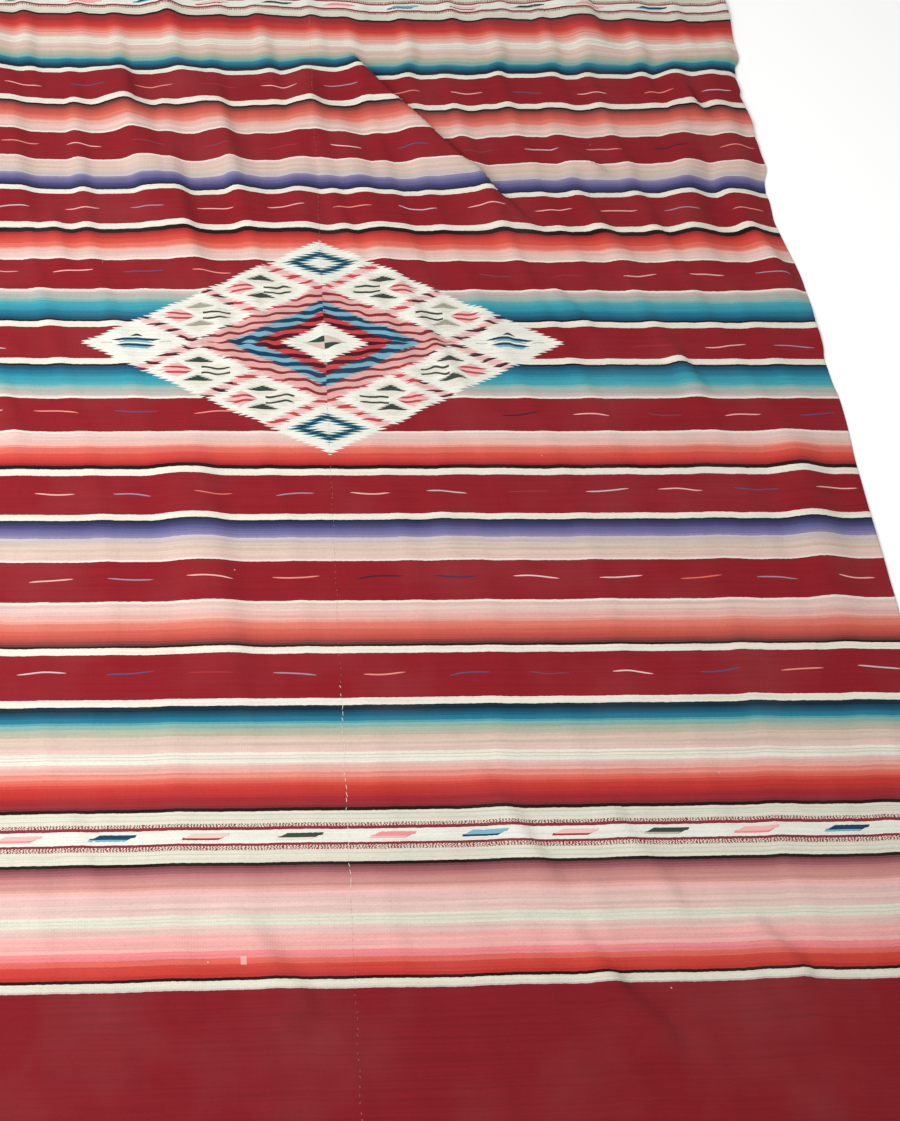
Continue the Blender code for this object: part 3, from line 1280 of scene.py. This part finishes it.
@dataclass(frozen=True)
class SeamThread:
    """The stitches that join the two panels, fine and close, with a stretch mended in pale thread.

    Their sizes are pairs, of the first thread and of the mend.
    """

    pitch: float = 0.0085
    start: float = 0.008
    reach: float = 0.0052
    share: Pair = (0.5, 1.0)
    uneven_share: Pair = (0.0, 0.3)
    thick: Pair = (0.0004, 0.0008)
    yarns: tuple[Yarn, Yarn] = (Y.DUSTY_PINK, Y.BONE)
    astray: tuple[float, float, float] = (0.0009, 0.0012, 0.0016)
    mend: Pair = (-0.79, -0.53)

    def stitches(self, length: float) -> list[Pick]:
        """Return the stitches along the whole seam, uneven as hand sewing is.

        Args:
            length: the seam's length in metres.

        Returns:
            The stitches.
        """
        found = []
        side_astray, end_astray, lean = self.astray
        for number in range(int((length - 0.01) / self.pitch)):
            along = -length / 2 + self.start + number * self.pitch
            mended = int(self.mend[0] < along < self.mend[1])
            odd = math.sin(7.31 * number)
            reach = self.reach * (self.share[mended] + self.uneven_share[mended] * odd)
            along += end_astray * math.sin(3.7 * number)
            across_by = lean * math.sin(5.1 * number + 0.4)
            thread = self.yarns[mended]
            found.append(
                Pick(side_astray * odd, along, across_by, self.thick[mended], reach,
                     0.0, 0.0, thread, thread)
            )
        return found


# ---- stage and camera


@dataclass(frozen=True)
class Stage:
    """A plain white floor under soft light, with one broad light from the left."""

    floor_half: float = 40.0
    floor_drop: float = 0.0006
    floor_colour: Colour = (0.93, 0.93, 0.93, 1.0)
    sky_colour: Colour = (1.0, 0.995, 0.985, 1.0)
    sky: float = 0.73
    lamp_size: float = 1.3
    lamp_power: float = 50.0
    lamp_place: tuple[float, float, float] = (-1.25, -0.45, 1.75)
    lamp_aim: tuple[float, float, float] = (0.05, -0.40, 0.0)

    def build(self) -> None:
        """Make the floor, the sky light and the lamp, and show colours plainly."""
        white = Recipe("floor_white").dress(
            Base_Color=self.floor_colour, Roughness=0.9, Specular_IOR_Level=0.1
        )
        h, z = self.floor_half, -self.floor_drop
        points = np.array([[-h, -h, z], [h, -h, z], [h, h, z], [-h, h, z]])
        add_mesh("floor", points, [[0, 1, 2, 3]], white)
        scene = bpy.context.scene
        world = bpy.data.worlds.new("soft_sky")
        world.use_nodes = True
        sky = world.node_tree.nodes["Background"]
        sky.inputs["Color"].default_value = self.sky_colour
        sky.inputs["Strength"].default_value = self.sky
        scene.world = world
        scene.view_settings.view_transform = "Standard"
        scene.view_settings.look = "None"
        lamp = bpy.data.lights.new("window", "AREA")
        lamp.shape, lamp.size, lamp.size_y = "RECTANGLE", self.lamp_size, self.lamp_size
        lamp.energy = self.lamp_power
        holder = bpy.data.objects.new("window", lamp)
        holder.location = self.lamp_place
        aim = Vector(self.lamp_aim) - Vector(holder.location)
        holder.rotation_euler = aim.to_track_quat("-Z", "Y").to_euler()
        scene.collection.objects.link(holder)


@dataclass(frozen=True)
class Camera:
    """A hand-held camera that looks down over the near half of the serape."""

    place: tuple[float, float, float] = (0.0825, -0.9743, 1.3437)
    heading: float = 4.98
    tilt: float = 65.12
    roll: float = 4.21
    lens: float = 35.33
    sensor: float = 36.0
    shift: float = 0.025
    nearest: float = 0.05

    def build(self) -> None:
        """Make the camera from its heading, its tilt down and its roll, all in degrees."""
        y, p, r = (math.radians(a) for a in (self.heading, self.tilt, self.roll))
        ahead = Vector((math.sin(y) * math.cos(p), math.cos(y) * math.cos(p), -math.sin(p)))
        level = Vector((math.cos(y), -math.sin(y), 0.0))
        above = level.cross(ahead)
        right = level * math.cos(r) + above * math.sin(r)
        up = above * math.cos(r) - level * math.sin(r)
        data = bpy.data.cameras.new("camera")
        data.sensor_fit, data.sensor_width = "AUTO", self.sensor
        data.lens, data.shift_x = self.lens, self.shift
        data.clip_start = self.nearest
        camera = bpy.data.objects.new("camera", data)
        turn = Matrix((right, up, -ahead)).transposed().to_4x4()
        camera.matrix_world = Matrix.Translation(self.place) @ turn
        bpy.context.scene.collection.objects.link(camera)
        bpy.context.scene.camera = camera


# ---- the serape


@dataclass
class Serape:
    """The whole serape: two panels, their inlaid picks and flashes, and the seam thread."""

    lay: Lay = field(default_factory=Lay)
    inlay: Inlay = field(default_factory=Inlay)
    thread: SeamThread = field(default_factory=SeamThread)

    def build(self) -> None:
        """Make, place and declare every piece."""
        left = Panel("cloth_left", -1, self.lay)
        right = Panel("cloth_right", 1, self.lay)
        wool = WovenWool().make("woven_wool")
        yarn = YarnFinish().make("inlaid_yarn")
        for panel, side in ((left, "left"), (right, "right")):
            node = f"panel_{side}"
            cloth = panel.build(wool)
            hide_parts(node)
            inlay = (
                YarnPiece(f"picks_{side}", (panel,), self.inlay.picks(panel)),
                YarnPiece(
                    f"flashes_{side}", (panel,), self.inlay.flashes(panel), stand=0.0005, blunt=0.04
                ),
            )
            woven_in = [piece.build(yarn) for piece in inlay]
            for piece in (cloth, *woven_in):
                self._report(piece, node)
        seam = YarnPiece(
            "seam_thread", (left, right), self.thread.stitches(left.length),
            stand=0.0006, sink=0.0001, stations=7, sides=6,
        )
        self._report(seam.build(yarn), "panel_left")

    @staticmethod
    def _report(piece: bpy.types.Object, slot: str) -> None:
        """Ride a piece on the root, name its finish's slot and log its size."""
        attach(piece, "root")
        log.info("%s: %d faces", piece.name, len(piece.data.polygons))


def main() -> None:
    """Build the stage, the camera and the serape, and write the two boxes to compare."""
    logging.basicConfig(level=logging.INFO, format="%(name)s: %(message)s")
    Stage().build()
    Camera().build()
    Serape().build()
    bpy.context.view_layer.update()


if __name__ == "__main__":
    main()
